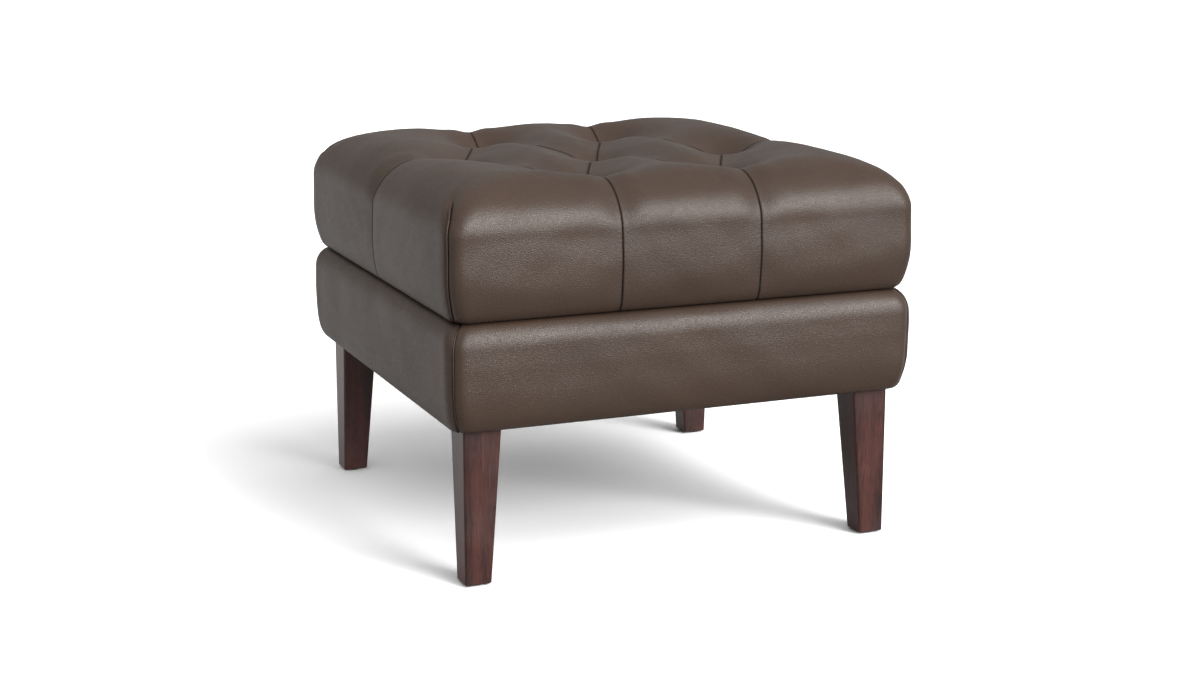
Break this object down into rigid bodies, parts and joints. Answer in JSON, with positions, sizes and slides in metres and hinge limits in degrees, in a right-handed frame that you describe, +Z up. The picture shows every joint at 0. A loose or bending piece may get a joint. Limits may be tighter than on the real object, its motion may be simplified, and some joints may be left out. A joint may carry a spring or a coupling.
{
  "type": "ottoman coffee table",
  "caption": "Square two-tier ottoman coffee table: a diamond-tufted leather cushion fixed on a padded leather box, on tapered square wooden legs.",
  "frame": {"origin": "on the floor, under the centre of the table", "axes": "+X to the right and +Y to the back, seen from the front; +Z up"},
  "size_m": [0.5768, 0.5768, 0.4566],
  "materials": {
    "leather": "semi-gloss taupe-brown leather with a fine pebble grain",
    "welt_leather": "the same leather, folded, a little darker along its creases",
    "leg_wood": "red-brown stained hardwood with a satin lacquer, grain along the leg",
    "plywood": "raw birch plywood",
    "block_wood": "raw sawn pine",
    "foam": "open-cell cushion foam",
    "fibre": "polyester fibre",
    "dust_cloth": "black non-woven dust cloth",
    "twine": "waxed tufting twine",
    "zinc_steel": "zinc-plated steel",
    "glide_plastic": "dark nylon"
  },
  "bodies": {
    "root": {"base_cover_back": "leather", "base_cover_front": "leather", "base_cover_left": "leather", "base_cover_right": "leather", "base_pad_back": "foam", "base_pad_front": "foam", "base_pad_left": "foam", "base_pad_right": "foam", "base_welt_back_left": "welt_leather", "base_welt_back_right": "welt_leather", "base_welt_front_left": "welt_leather", "base_welt_front_right": "welt_leather", "block_screws": "zinc_steel", "cleat_left": "block_wood", "cleat_right": "block_wood", "cleat_screws": "zinc_steel", "corner_block_back_left": "block_wood", "corner_block_back_right": "block_wood", "corner_block_front_left": "block_wood", "corner_block_front_right": "block_wood", "dust_cover": "dust_cloth", "foot_glides": "glide_plastic", "hanger_bolts": "zinc_steel", "leg_back_left": "leg_wood", "leg_back_right": "leg_wood", "leg_front_left": "leg_wood", "leg_front_right": "leg_wood", "rail_back": "plywood", "rail_front": "plywood", "rail_left": "plywood", "rail_right": "plywood", "seat_board": "plywood", "seat_cover_back_left": "leather", "seat_cover_back_middle": "leather", "seat_cover_back_right": "leather", "seat_cover_diamond_left": "leather", "seat_cover_diamond_right": "leather", "seat_cover_front_left": "leather", "seat_cover_front_middle": "leather", "seat_cover_front_right": "leather", "seat_fill_back_left": "fibre", "seat_fill_back_middle": "fibre", "seat_fill_back_right": "fibre", "seat_fill_diamond_left": "fibre", "seat_fill_diamond_right": "fibre", "seat_fill_front_left": "fibre", "seat_fill_front_middle": "fibre", "seat_fill_front_right": "fibre", "seat_foam": "foam", "seat_screws": "zinc_steel", "seat_welt_back_left": "welt_leather", "seat_welt_back_right": "welt_leather", "seat_welt_front_left": "welt_leather", "seat_welt_front_right": "welt_leather", "staples": "zinc_steel", "tee_nuts": "zinc_steel", "tuft_twines": "twine", "tuft_washers": "zinc_steel"}
  },
  "joints": []
}
